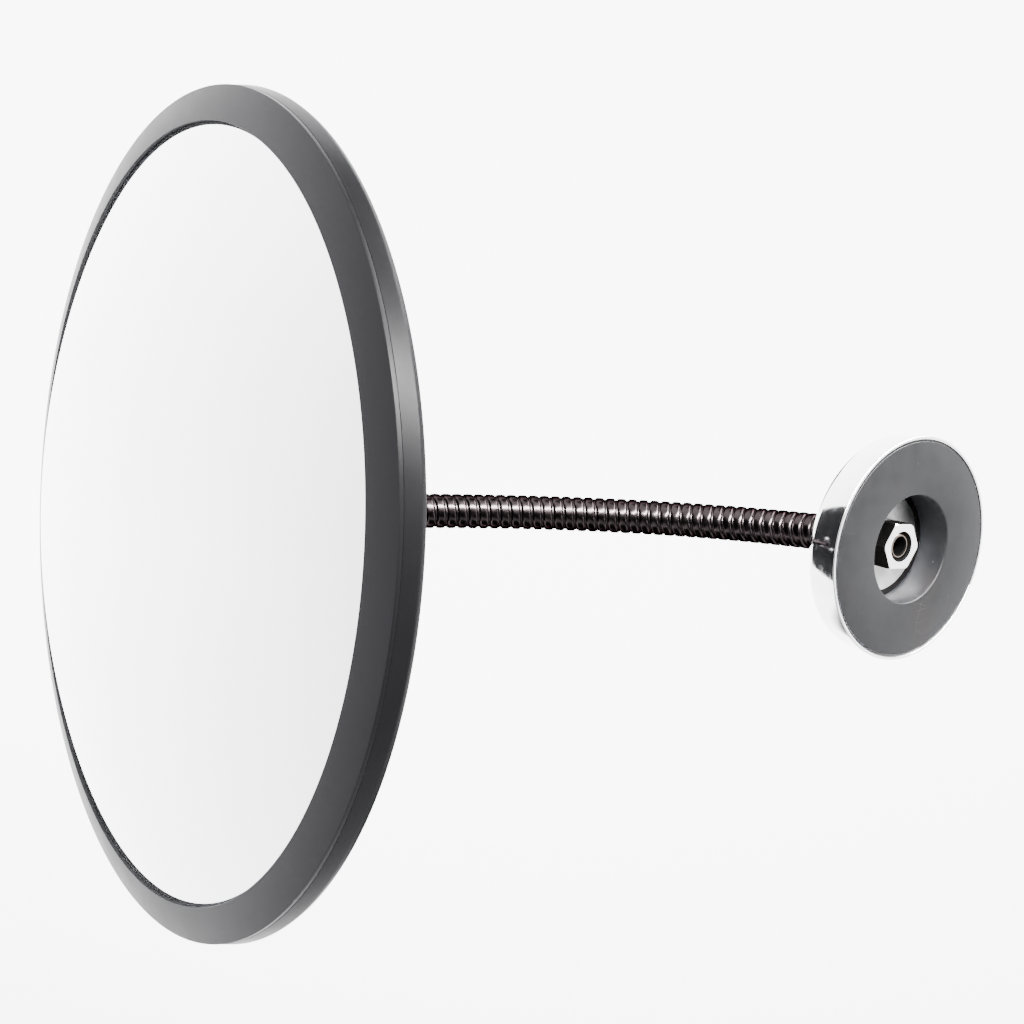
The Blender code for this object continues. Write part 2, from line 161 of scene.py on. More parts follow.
# Camera and stage
AIM = Vector((120.0, -90.0, 0.0)) * MM
FLAG_AZIMUTH = 62.0
FLAG_DISTANCE = 1.1
LIGHT_DISTANCE = 1.6
CAMERA_PLACE = Vector((427.2, 326.8, 74.0)) * MM
CAMERA_AZIMUTH = 52.54
CAMERA_ELEVATION = 8.39
CAMERA_ROLL = 6.38
CAMERA_LENS = 52.73
SENSOR_WIDTH = 36.0
FLOOR_HEIGHT = -450.0 * MM
LOW_FLAG_HEIGHT = -167.5 * MM
SURROUND_RADIUS = 4.0
SURROUND_BEND = 1.2
GLOW = 4.4
GLOW_SWING = 4.2
BRIGHT_AZIMUTH = -120.0
BRIGHT_ELEVATION = 12.0
SKY = 0.8
SKY_SWING = 0.5
SKY_AZIMUTH = -100.0
SKY_ELEVATION = 45.0


def direction(azimuth, elevation):
    """The unit vector at this azimuth from +X and this elevation above the XY plane."""
    a = math.radians(azimuth)
    e = math.radians(elevation)
    return Vector((math.cos(e) * math.cos(a), math.cos(e) * math.sin(a), math.sin(e)))


def placed(origin, axis):
    """The matrix of a frame at origin whose local +Z runs along axis."""
    return Matrix.Translation(origin) @ axis.to_track_quat("Z", "Y").to_matrix().to_4x4()


HEAD = placed(HEAD_CENTRE, direction(HEAD_AZIMUTH, HEAD_ELEVATION))
FOOT = placed(Vector((0.0, 0.0, 0.0)), Vector((0.0, 1.0, 0.0)))


# Node graphs


class Surface:
    """A material whose Principled shader is fed by small procedural graphs in object space."""

    def __init__(self, name, colour, roughness, metallic=0.0, specular=0.5):
        self.material = bpy.data.materials.new(name)
        self.material.use_nodes = True
        self.tree = self.material.node_tree
        self.shader = self.tree.nodes["Principled BSDF"]
        self.shader.inputs["Base Color"].default_value = (*colour, 1.0)
        self.shader.inputs["Roughness"].default_value = roughness
        self.shader.inputs["Metallic"].default_value = metallic
        self.shader.inputs["Specular IOR Level"].default_value = specular
        self.place = self.tree.nodes.new("ShaderNodeTexCoord").outputs["Object"]
        self.normal = None

    def node(self, kind, inputs=None, **settings):
        made = self.tree.nodes.new(kind)
        for key, value in settings.items():
            setattr(made, key, value)
        for key, value in (inputs or {}).items():
            self.put(made.inputs[key], value)
        return made

    def put(self, socket, value):
        if isinstance(value, bpy.types.NodeSocket):
            self.tree.links.new(value, socket)
        else:
            socket.default_value = value

    def noise(self, scale, detail, roughness=0.55, place=None):
        inputs = {"Scale": scale, "Detail": detail, "Roughness": roughness}
        inputs["Vector"] = place or self.place
        return self.node("ShaderNodeTexNoise", inputs).outputs["Fac"]

    def span(self, value, low, high, to_low, to_high):
        """value from low..high mapped to to_low..to_high and clamped."""
        inputs = {"From Min": low, "From Max": high, "To Min": to_low, "To Max": to_high}
        inputs["Value"] = value
        return self.node("ShaderNodeMapRange", inputs).outputs["Result"]

    def maths(self, operation, a, b=0.0):
        return self.node("ShaderNodeMath", {0: a, 1: b}, operation=operation).outputs[0]

    def mix(self, share, a, b):
        made = self.node("ShaderNodeMix", data_type="RGBA")
        self.put(made.inputs["Factor"], share)
        self.put(made.inputs["A"], a)
        self.put(made.inputs["B"], b)
        return made.outputs["Result"]

    def scaled(self, factors):
        """The object-space point multiplied by factors, for streaks."""
        inputs = {0: self.place, 1: factors}
        return self.node("ShaderNodeVectorMath", inputs, operation="MULTIPLY").outputs[0]

    def tone(self, scale, detail, dark, light, low=0.35):
        """A colour that wanders between two as a noise of this scale does."""
        return self.mix(self.span(self.noise(scale, detail), low, 0.7, 0.0, 1.0), dark, light)

    def colour(self, value):
        self.put(self.shader.inputs["Base Color"], value)

    def roughness(self, value):
        self.put(self.shader.inputs["Roughness"], value)

    def bump(self, height, distance, strength):
        """Adds a bump of this height in metres on top of those there already."""
        inputs = {"Height": height, "Distance": distance, "Strength": strength}
        if self.normal:
            inputs["Normal"] = self.normal
        self.normal = self.node("ShaderNodeBump", inputs).outputs["Normal"]
        self.put(self.shader.inputs["Normal"], self.normal)


def rgb(red, green, blue):
    return (red, green, blue, 1.0)


def silvered_acrylic():
    """Polished acrylic with metal behind it: almost clean, with faint ripples from the moulding."""
    s = Surface("silvered_acrylic", (0.93, 0.94, 0.95), 0.02, metallic=1.0)
    smudges = s.noise(14.0, 4.0)
    s.roughness(s.span(smudges, 0.45, 0.75, 0.012, 0.05))
    smudged = s.span(smudges, 0.35, 0.7, 0.0, 1.0)
    s.colour(s.mix(smudged, rgb(0.95, 0.955, 0.96), rgb(0.91, 0.915, 0.925)))
    s.bump(s.noise(9.0, 1.0), 0.0006, 0.015)
    s.shader.inputs["Coat Weight"].default_value = 0.4
    s.shader.inputs["Coat Roughness"].default_value = 0.02
    s.shader.inputs["Coat IOR"].default_value = 1.49
    return s.material


def grey_plastic():
    """Dark grey moulded plastic with a fine satin grain and faint cloudy wear."""
    s = Surface("grey_plastic", (0.062, 0.060, 0.067), 0.34, specular=0.04)
    s.colour(s.tone(22.0, 4.0, rgb(0.058, 0.056, 0.063), rgb(0.066, 0.064, 0.072), low=0.3))
    s.roughness(s.span(s.noise(70.0, 5.0), 0.3, 0.7, 0.31, 0.37))
    s.bump(s.noise(2600.0, 2.0), 0.00003, 0.4)
    s.bump(s.noise(40.0, 2.0), 0.0002, 0.05)
    return s.material


def matte_shaded_plastic():
    """A darker, coarse matte copy of the grey plastic, its darkness painted shade: the back cover
    inside its rim, and the wall of the bezel's lip.
    """
    s = Surface("matte_shaded_plastic", (0.028, 0.028, 0.030), 0.7, specular=0.01)
    s.colour(s.tone(22.0, 4.0, rgb(0.025, 0.025, 0.027), rgb(0.032, 0.032, 0.034), low=0.3))
    s.roughness(s.span(s.noise(70.0, 5.0), 0.3, 0.7, 0.62, 0.78))
    s.bump(s.noise(1800.0, 2.0), 0.00005, 0.5)
    return s.material


def chrome():
    """Bright nickel-chrome plate with small pits and faint rubbing."""
    s = Surface("cup_chrome", (0.80, 0.80, 0.82), 0.06, metallic=1.0)
    rubbed = s.noise(1.0, 5.0, 0.65, s.scaled((120.0, 900.0, 120.0)))
    s.roughness(s.span(rubbed, 0.35, 0.75, 0.04, 0.14))
    s.colour(s.tone(90.0, 4.0, rgb(0.86, 0.86, 0.88), rgb(0.76, 0.76, 0.79), low=0.4))
    s.bump(s.noise(260.0, 3.0), 0.00008, 0.10)
    return s.material


def scratches(s, scale, stretch, width):
    """A mask of long thin wandering lines, where a stretched noise crosses its middle."""
    lines = s.noise(scale, 2.0, 0.5, s.scaled(stretch))
    return s.span(s.maths("ABSOLUTE", s.maths("SUBTRACT", lines, 0.5)), 0.0, width, 1.0, 0.0)


def ferrite():
    """Ground ferrite: satin grey with fine scratches, a few light nicks and a rusty smear."""
    s = Surface("ferrite", (0.068, 0.069, 0.077), 0.42, specular=0.14)
    cloud = s.span(s.noise(45.0, 5.0), 0.3, 0.7, 0.0, 1.0)
    tone = s.mix(cloud, rgb(0.060, 0.061, 0.069), rgb(0.080, 0.082, 0.091))
    smear = s.span(s.noise(30.0, 3.0), 0.56, 0.72, 0.0, 0.5)
    tone = s.mix(smear, tone, rgb(0.098, 0.076, 0.070))
    where = s.span(s.noise(38.0, 2.0), 0.60, 0.70, 0.0, 1.0)
    marks = s.maths("MULTIPLY", where, scratches(s, 1.0, (140.0, 90.0, 22.0), 0.006))
    finer = s.maths("MULTIPLY", where, scratches(s, 1.0, (30.0, 90.0, 170.0), 0.004))
    marks = s.maths("MAXIMUM", marks, finer)
    tone = s.mix(s.maths("MULTIPLY", marks, 0.5), tone, rgb(0.30, 0.30, 0.31))
    nicks = s.span(s.noise(420.0, 2.0), 0.74, 0.80, 0.0, 0.6)
    s.colour(s.mix(nicks, tone, rgb(0.25, 0.25, 0.26)))
    s.roughness(s.span(s.noise(130.0, 4.0), 0.3, 0.7, 0.32, 0.50))
    s.bump(s.noise(1500.0, 3.0), 0.00004, 0.3)
    return s.material


def zinc():
    """Bright zinc plate with a fine grain and dull patches."""
    s = Surface("zinc", (0.86, 0.86, 0.85), 0.14, metallic=1.0)
    s.colour(s.tone(240.0, 4.0, rgb(0.90, 0.90, 0.89), rgb(0.76, 0.76, 0.75)))
    s.roughness(s.span(s.noise(500.0, 4.0), 0.3, 0.7, 0.10, 0.18))
    s.bump(s.noise(1500.0, 2.0), 0.00001, 0.03)
    return s.material


def oily_steel():
    """The threaded tubes' outside: dark, oily and a little rusty."""
    s = Surface("oily_steel", (0.10, 0.085, 0.075), 0.40, metallic=1.0)
    s.colour(s.tone(500.0, 4.0, rgb(0.085, 0.075, 0.068), rgb(0.16, 0.125, 0.10)))
    s.roughness(s.span(s.noise(300.0, 4.0), 0.3, 0.7, 0.35, 0.5))
    s.bump(s.noise(900.0, 2.0), 0.00003, 0.2)
    return s.material


def painted_shade_black():
    """Dull black that paints shade and dark reflection: the nuts' sides and bores and the tubes'
    inside; also the bead of resin, black resin whose blackness is partly painted shade at the foot
    of the bore.
    """
    s = Surface("painted_shade_black", (0.010, 0.009, 0.009), 0.75, specular=0.02)
    s.colour(s.tone(300.0, 4.0, rgb(0.008, 0.007, 0.007), rgb(0.018, 0.015, 0.013)))
    s.bump(s.noise(900.0, 2.0), 0.00003, 0.2)
    return s.material


def steel_and_floor_shade():
    """Sheet steel with a light oily patina: the hub plate, and the cup's floor, whose darker,
    duller grey is partly smeared glue and partly painted shade from the bore.
    """
    s = Surface("steel", (0.42, 0.42, 0.43), 0.35, metallic=1.0)
    s.colour(s.tone(120.0, 4.0, rgb(0.46, 0.46, 0.47), rgb(0.33, 0.325, 0.32)))
    s.roughness(s.span(s.noise(300.0, 4.0), 0.3, 0.7, 0.28, 0.45))
    s.bump(s.noise(900.0, 2.0), 0.00005, 0.3)
    return s.material


def black_steel(name, roughness):
    """Steel blackened by a thin oxide, faintly brown, with a few rubbed spots."""
    s = Surface(name, (0.024, 0.020, 0.021), roughness, metallic=1.0)
    s.shader.inputs["Specular Tint"].default_value = rgb(0.06, 0.05, 0.05)
    tone = s.tone(150.0, 4.0, rgb(0.022, 0.018, 0.019), rgb(0.032, 0.026, 0.027))
    s.colour(s.mix(s.span(s.noise(600.0, 2.0), 0.74, 0.80, 0.0, 0.5), tone, rgb(0.07, 0.06, 0.06)))
    s.roughness(s.span(s.noise(420.0, 4.0), 0.3, 0.7, roughness - 0.05, roughness + 0.07))
    s.bump(s.noise(1400.0, 2.0), 0.00002, 0.2)
    return s.material


def dark_resin():
    """Black resin and rubber, with a few light specks where it has chipped."""
    s = Surface("resin", (0.02, 0.02, 0.021), 0.5, specular=0.3)
    tone = s.tone(200.0, 4.0, rgb(0.010, 0.010, 0.011), rgb(0.026, 0.024, 0.023))
    s.colour(s.mix(s.span(s.noise(330.0, 2.0), 0.70, 0.74, 0.0, 0.8), tone, rgb(0.5, 0.5, 0.5)))
    s.roughness(s.span(s.noise(300.0, 3.0), 0.3, 0.7, 0.42, 0.62))
    s.bump(s.noise(900.0, 3.0), 0.00006, 0.4)
    return s.material


def foam():
    """Closed-cell foam."""
    s = Surface("foam", (0.03, 0.03, 0.03), 0.9, specular=0.2)
    s.colour(s.mix(s.noise(400.0, 3.0), rgb(0.02, 0.02, 0.02), rgb(0.045, 0.045, 0.045)))
    s.bump(s.noise(1600.0, 3.0), 0.0002, 0.7)
    return s.material


def studio_white():
    """The pale floor and its surround, which glow, a little brighter on one side."""
    s = Surface("studio_white", (0.90, 0.90, 0.90), 0.75, specular=0.1)
    s.colour(s.mix(s.noise(1.5, 2.0), rgb(0.895, 0.895, 0.90), rgb(0.905, 0.905, 0.905)))
    towards = s.node("ShaderNodeVectorMath", {0: s.place}, operation="NORMALIZE").outputs[0]
    brightest = direction(BRIGHT_AZIMUTH, BRIGHT_ELEVATION)
    inputs = {0: towards, 1: brightest}
    bright = s.node("ShaderNodeVectorMath", inputs, operation="DOT_PRODUCT").outputs["Value"]
    glow = s.maths("ADD", s.maths("MULTIPLY", bright, GLOW_SWING), GLOW)
    s.shader.inputs["Emission Color"].default_value = (1.0, 1.0, 1.0, 1.0)
    s.put(s.shader.inputs["Emission Strength"], glow)
    s.material.cycles.emission_sampling = "NONE"
    return s.material


def soft_black(width, depth, softness):
    """A black flag's cloth, which fades out towards the edges of a panel of this size."""
    material = bpy.data.materials.new("flag_black")
    material.use_nodes = True
    tree = material.node_tree
    tree.nodes.clear()
    parts = tree.nodes.new("ShaderNodeSeparateXYZ")
    tree.links.new(tree.nodes.new("ShaderNodeTexCoord").outputs["Object"], parts.inputs[0])
    shares = []
    for output, size in (("X", width), ("Y", depth)):
        away = tree.nodes.new("ShaderNodeMath")
        away.operation = "ABSOLUTE"
        tree.links.new(parts.outputs[output], away.inputs[0])
        fade = tree.nodes.new("ShaderNodeMapRange")
        fade.interpolation_type = "SMOOTHSTEP"
        tree.links.new(away.outputs[0], fade.inputs["Value"])
        span = {"From Min": size / 2 - softness, "From Max": size / 2, "To Min": 1.0, "To Max": 0.0}
        for key, value in span.items():
            fade.inputs[key].default_value = value
        shares.append(fade.outputs["Result"])
    both = tree.nodes.new("ShaderNodeMath")
    both.operation = "MULTIPLY"
    tree.links.new(shares[0], both.inputs[0])
    tree.links.new(shares[1], both.inputs[1])
    clear = tree.nodes.new("ShaderNodeBsdfTransparent")
    black = tree.nodes.new("ShaderNodeBsdfDiffuse")
    black.inputs["Color"].default_value = (0.0, 0.0, 0.0, 1.0)
    mix = tree.nodes.new("ShaderNodeMixShader")
    tree.links.new(both.outputs[0], mix.inputs[0])
    tree.links.new(clear.outputs[0], mix.inputs[1])
    tree.links.new(black.outputs[0], mix.inputs[2])
    tree.links.new(mix.outputs[0], tree.nodes.new("ShaderNodeOutputMaterial").inputs["Surface"])
    return material


SILVERED = silvered_acrylic()
GREY_PLASTIC = grey_plastic()
MATTE_SHADED_PLASTIC = matte_shaded_plastic()
CHROME = chrome()
FERRITE = ferrite()
ZINC = zinc()
STEEL_AND_FLOOR_SHADE = steel_and_floor_shade()
OILY_STEEL = oily_steel()
PAINTED_SHADE_BLACK = painted_shade_black()
BLACK_COIL = black_steel("black_coil", 0.20)
BLACK_WIRE = black_steel("black_wire", 0.26)
RESIN = dark_resin()
FOAM = foam()


# Mesh helpers


def filleted(corners, steps=5):
    """A closed outline of (radius, height, fillet) corners with each corner rounded by an arc."""
    points = []
    count = len(corners)
    for i, (radius, height, fillet) in enumerate(corners):
        here = Vector((radius, height))
        if fillet <= 0:
            points.append(here)
            continue
        to_last = (Vector(corners[i - 1][:2]) - here).normalized()
        to_next = (Vector(corners[(i + 1) % count][:2]) - here).normalized()
        half = math.acos(max(-1.0, min(1.0, to_last.dot(to_next)))) / 2
        reach = fillet / math.tan(half)
        centre = here + (to_last + to_next).normalized() * (fillet / math.sin(half))
        first = here + to_last * reach - centre
        last = here + to_next * reach - centre
        sweep = first.angle_signed(last)
        for k in range(steps + 1):
            angle = -sweep * k / steps
            points.append(centre + Matrix.Rotation(angle, 2) @ first)
    return [(p.x, p.y) for p in points]


def object_from(name, body, matrix, material):
    mesh = bpy.data.meshes.new(name)
    bmesh.ops.transform(body, matrix=matrix, verts=body.verts)
    bmesh.ops.recalc_face_normals(body, faces=body.faces)
    body.to_mesh(mesh)
    body.free()
    obj = bpy.data.objects.new(name, mesh)
    bpy.context.scene.collection.objects.link(obj)
    mesh.materials.append(material)
    mesh.shade_smooth()
    mesh.set_sharp_from_angle(angle=math.radians(SHARP_ANGLE))
    return obj


def turned(name, outline, segments, matrix, material, closed=True):
    """Turns an outline of (radius, height) points about the axis; radius 0 gives a pole."""
    body = bmesh.new()
    rows = []
    for radius, height in outline:
        if radius < ON_AXIS:
            rows.append([body.verts.new((0.0, 0.0, height))])
            continue
        row = []
        for k in range(segments):
            angle = 2 * math.pi * k / segments
            place = (radius * math.cos(angle), radius * math.sin(angle), height)
            row.append(body.verts.new(place))
        rows.append(row)
    pairs = list(zip(rows, rows[1:]))
    if closed:
        pairs.append((rows[-1], rows[0]))
    for upper, lower in pairs:
        for k in range(segments):
            following = (k + 1) % segments
            if len(upper) == 1 and len(lower) == 1:
                continue
            if len(upper) == 1:
                body.faces.new((upper[0], lower[k], lower[following]))
            elif len(lower) == 1:
                body.faces.new((upper[k], lower[0], upper[following]))
            else:
                body.faces.new((upper[k], lower[k], lower[following], upper[following]))
    return object_from(name, body, matrix, material)


def paint(obj, matrix, material, chosen):
    """Gives this material to the faces that pass the test.

    The test is told a face's radius and height in the frame of matrix, and how far along that
    frame's axis its normal points, from 0 to 1.
    """
    obj.data.materials.append(material)
    back = matrix.inverted()
    axis = matrix.to_3x3().col[2].normalized()
    for face in obj.data.polygons:
        middle = back @ face.center
        if chosen(math.hypot(middle.x, middle.y), middle.z, abs(face.normal.dot(axis))):
            face.material_index = 1


def finish_piece(obj, body, slot, *nodes):
    """Rides the piece on its body and hides the CAD nodes it stands for."""
    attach(obj, body)
    if nodes:
        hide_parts(*nodes)


def dome_arc(radius, edge, base, points):
    """(radius, height) points of a spherical cap, from its apex to its edge at height base."""
    edge_angle = math.asin(edge / radius)
    centre = base - radius * math.cos(edge_angle)
    for i in range(points + 1):
        angle = edge_angle * i / points
        yield radius * math.sin(angle), centre + radius * math.cos(angle)


# Head


def mirror_lens():
    """The silvered dome with its flat flange, which the bezel hides."""
    under = LENS_FLANGE_TOP - LENS_THICKNESS
    outer = list(dome_arc(DOME_RADIUS, DOME_EDGE_RADIUS, LENS_FLANGE_TOP, 56))
    inner_edge = DOME_EDGE_RADIUS - LENS_THICKNESS / 2
    inner = list(dome_arc(DOME_RADIUS - LENS_THICKNESS, inner_edge, under, 28))
    flange = [(LENS_FLANGE_RADIUS, LENS_FLANGE_TOP), (LENS_FLANGE_RADIUS, under)]
    outline = outer + flange + inner[::-1]
    lens = turned("mirror_dome", outline, LENS_SEGMENTS, HEAD, SILVERED, closed=False)
    finish_piece(lens, "head", "silvered_acrylic", "mirror_lens")


def front_bezel():
    """The sloping band with its lip over the glass and its softened outer corner."""
    seat = LENS_FLANGE_TOP + GAP
    corners = [
        (LIP_RADIUS, LIP_HEIGHT, 0.15 * MM),
        (CORNER_RADIUS, 0.4 * MM, 0.3 * MM),
        (CORNER_RADIUS, BEZEL_PARTING, 0.08 * MM),
        (SPIGOT_RADIUS, BEZEL_PARTING, 0.0),
        (SPIGOT_RADIUS, SPIGOT_END, 0.2 * MM),
        (SPIGOT_INNER, SPIGOT_END, 0.2 * MM),
        (SPIGOT_INNER, seat, 0.0),
        (DOME_EDGE_RADIUS, seat, 0.0),
        (LIP_RADIUS, LIP_WALL_END, 0.05 * MM),
    ]
    bezel = turned("bezel_ring", filleted(corners), HEAD_SEGMENTS, HEAD, GREY_PLASTIC)

    def on_lip_wall(radius, height, axial):
        return radius < LIP_RADIUS + 0.05 * MM and axial < 0.5

    # The lip's inner wall is painted in the darker plastic: painted shade.
    paint(bezel, HEAD, MATTE_SHADED_PLASTIC, on_lip_wall)
    finish_piece(bezel, "head", "grey_plastic", "front_bezel")


def back_shell():
    """The back cover: rounded rim wall, a stepped shallow dish and the neck's boss."""
    boss_inner = BOSS_FACE + BOSS_THICKNESS
    corners = [
        (RIM_INNER, BEZEL_PARTING - PARTING_LINE, 0.05 * MM),
        (CORNER_RADIUS + 0.1 * MM, BEZEL_PARTING - PARTING_LINE, 0.12 * MM),
        (SHELL_RADIUS, -6.6 * MM, 2.0 * MM),
        (SHELL_RADIUS - 0.9 * MM, DISH_EDGE + 0.3 * MM, 0.9 * MM),
        (SHELL_RADIUS - 2.6 * MM, DISH_EDGE, 1.0 * MM),
        (DISH_STEP_RADIUS, DISH_STEP, 1.0 * MM),
        (DISH_STEP_RADIUS - 1.6 * MM, DISH_STEP - 1.2 * MM, 1.0 * MM),
        (DISH_FOOT_RADIUS, DISH_FOOT, 8.0 * MM),
        (BOSS_RADIUS + 2.0 * MM, BOSS_FACE, 1.2 * MM),
        (THREAD_RADIUS + GAP, BOSS_FACE, 0.2 * MM),
        (THREAD_RADIUS + GAP, boss_inner, 0.2 * MM),
        (BOSS_RADIUS, boss_inner, 1.0 * MM),
        (DISH_FOOT_RADIUS, DISH_FOOT + SHELL_WALL, 4.0 * MM),
        (LEDGE_INNER, DISH_EDGE - 0.6 * MM + SHELL_WALL, 0.3 * MM),
        (LEDGE_INNER, LEDGE_TOP, 0.2 * MM),
        (LEDGE_RADIUS, LEDGE_TOP, 0.2 * MM),
        (LEDGE_RADIUS, GROOVE_FLOOR, 0.2 * MM),
        (RIM_INNER, GROOVE_FLOOR, 0.2 * MM),
    ]
    shell = turned("back_cover", filleted(corners, 4), HEAD_SEGMENTS, HEAD, GREY_PLASTIC)

    def inside_rim(radius, height, axial):
        return radius < SHELL_RADIUS - MATTE_INSET

    # Inside the rim the back is painted in the darker plastic: painted shade.
    paint(shell, HEAD, MATTE_SHADED_PLASTIC, inside_rim)
    finish_piece(shell, "head", "grey_plastic", "back_shell")


def screw_places():
    """The screws' centres in the head's frame."""
    for i in range(HUB_SCREW_COUNT):
        angle = math.radians(90 + 360.0 * i / HUB_SCREW_COUNT)
        yield Vector((HUB_SCREW_CIRCLE * math.cos(angle), HUB_SCREW_CIRCLE * math.sin(angle), 0.0))


def hub_screws():
    """The screws' shanks and domed heads."""
    head = BOSS_FACE - GAP
    crown = head - HUB_SCREW_HEAD_HEIGHT
    shank = head + 2 * HUB_SCREW_RADIUS
    corners = [
        (0.0, shank, 0.0),
        (HUB_SCREW_RADIUS, shank, 0.1 * MM),
        (HUB_SCREW_RADIUS, head, 0.0),
        (HUB_SCREW_HEAD_RADIUS, head, 0.1 * MM),
        (HUB_SCREW_HEAD_RADIUS, head - HUB_SCREW_DOME, 0.8 * MM),
        (HUB_SCREW_HEAD_RADIUS - 1.0 * MM, crown, 0.5 * MM),
        (0.0, crown, 0.0),
    ]
    outline = filleted(corners)
    for i, place in enumerate(screw_places()):
        matrix = HEAD @ Matrix.Translation(place)
        screw = turned(f"hub_screw_head_{i + 1}", outline, 48, matrix, ZINC, closed=False)
        finish_piece(screw, "head", "zinc", f"hub_screw_{i + 1}")


# Fittings


def nut(name, matrix, bottom):
    """A hexagon nut: flats with curved chamfer edges and a countersunk bore."""
    body = bmesh.new()
    per_side = 12
    apothem = NUT_ACROSS_FLATS / 2
    chamfer_circle = apothem * NUT_CHAMFER_CIRCLE
    slope = math.tan(math.radians(30))
    top = bottom + NUT_HEIGHT
    bore = THREAD_RADIUS - NUT_BORE_INSET
    sink = THREAD_RADIUS + NUT_SINK_WIDTH
    rings = [[] for _ in range(8)]
    count = 6 * per_side
    for k in range(count):
        angle = 2 * math.pi * k / count
        in_side = (angle + math.radians(30)) % math.radians(60) - math.radians(30)
        flat = apothem / math.cos(in_side)
        face = min(flat - NUT_CHAMFER_LEAST, chamfer_circle)
        drop = (flat - face) * slope
        levels = [
            (bore, bottom + NUT_SINK_DEPTH),
            (sink, bottom),
            (face, bottom),
            (flat, bottom + drop),
            (flat, top - drop),
            (face, top),
            (sink, top),
            (bore, top - NUT_SINK_DEPTH),
        ]
        for ring, (radius, height) in zip(rings, levels):
            place = (radius * math.cos(angle), radius * math.sin(angle), height)
            ring.append(body.verts.new(place))
    for upper, lower in zip(rings, rings[1:] + rings[:1]):
        for k in range(count):
            j = (k + 1) % count
            body.faces.new((upper[k], lower[k], lower[j], upper[j]))
    flats_down = matrix @ Matrix.Rotation(math.radians(30), 4, "Z")
    made = object_from(name, body, flats_down, ZINC)
    made.data.set_sharp_from_angle(angle=math.radians(NUT_SHARP_ANGLE))

    def on_side_or_bore(radius, height, axial):
        return axial < 0.3 or radius < THREAD_RADIUS + 0.4 * MM

    # The flats get painted dark reflection and the bore gets painted shade, both in dull black.
    paint(made, matrix, PAINTED_SHADE_BLACK, on_side_or_bore)
    return made


def nipple(name, matrix, top, bottom):
    """The hollow threaded tube, with one ridge for each turn of its thread."""
    outline = [
        (NIPPLE_BORE, top - 0.5 * MM),
        (NIPPLE_BORE + 0.4 * MM, top),
        (THREAD_RADIUS - 1.0 * MM, top),
    ]
    turns = int((top - bottom) / THREAD_PITCH)
    for i in range(turns):
        height = top - 0.5 * MM - THREAD_PITCH * i
        outline.append((THREAD_RADIUS - THREAD_ROOT, height))
        outline.append((THREAD_RADIUS - THREAD_CREST, height - 0.35 * MM))
        outline.append((THREAD_RADIUS - THREAD_CREST, height - 0.5 * MM))
    outline.append((THREAD_RADIUS - THREAD_ROOT, bottom))
    outline.append((NIPPLE_BORE, bottom))
    made = turned(name, outline, 64, matrix, OILY_STEEL)

    def in_bore(radius, height, axial):
        return radius < NIPPLE_BORE + 0.3 * MM

    # The tube's inside is painted dull black: painted shade in the bore.
    paint(made, matrix, PAINTED_SHADE_BLACK, in_bore)
    return made


def ferrule(name, matrix, top):
    """The neck's end collar, with a rolled crimp near its mouth."""
    bottom = top - FERRULE_LENGTH
    crimp = bottom + CRIMP_PLACE
    corners = [
        (THREAD_RADIUS, top, 0.0),
        (FERRULE_RADIUS, top, 0.7 * MM),
        (FERRULE_RADIUS, crimp + CRIMP_HALF, 0.3 * MM),
        (FERRULE_RADIUS - CRIMP_DEPTH, crimp, 0.5 * MM),
        (FERRULE_RADIUS, crimp - CRIMP_HALF, 0.3 * MM),
        (FERRULE_RADIUS, bottom, 0.6 * MM),
        (SOCKET_RADIUS, bottom, 0.2 * MM),
        (SOCKET_RADIUS, bottom + SOCKET_DEPTH, 0.0),
        (THREAD_RADIUS, bottom + SOCKET_DEPTH, 0.0),
    ]
    return turned(name, filleted(corners), FITTING_SEGMENTS, matrix, BLACK_COIL)


def head_fittings():
    """What shows of the neck's fastening behind the boss, and the thread inside."""
    seal_top = BOSS_FACE - GAP
    seal_bottom = seal_top - SEAL_THICKNESS
    corners = [
        (THREAD_RADIUS + GAP, seal_top, 0.1 * MM),
        (SEAL_RADIUS, seal_top, 0.3 * MM),
        (SEAL_RADIUS, seal_bottom, 0.5 * MM),
        (THREAD_RADIUS + GAP, seal_bottom, 0.1 * MM),
    ]
    seal = turned("head_seal", filleted(corners), FITTING_SEGMENTS, HEAD, RESIN)
    finish_piece(seal, "head", "resin", "head_seal_washer")
    ferrule_top = seal_bottom - GAP
    finish_piece(ferrule("head_collar", HEAD, ferrule_top), "head", "black_steel", "head_ferrule")
    plate_top = BOSS_FACE + BOSS_THICKNESS + GAP + HUB_PLATE_THICKNESS
    nut_bottom = plate_top + GAP + LOCK_WASHER_THICKNESS + GAP
    finish_piece(nut("head_hex_nut", HEAD, nut_bottom), "head", "zinc", "head_nut")
    nipple_bottom = ferrule_top - FERRULE_LENGTH + SOCKET_DEPTH + GAP
    thread = nipple("head_thread", HEAD, nut_bottom + NUT_HEIGHT + 1.0 * MM, nipple_bottom)
    finish_piece(thread, "head", "zinc", "head_nipple")


# Foot


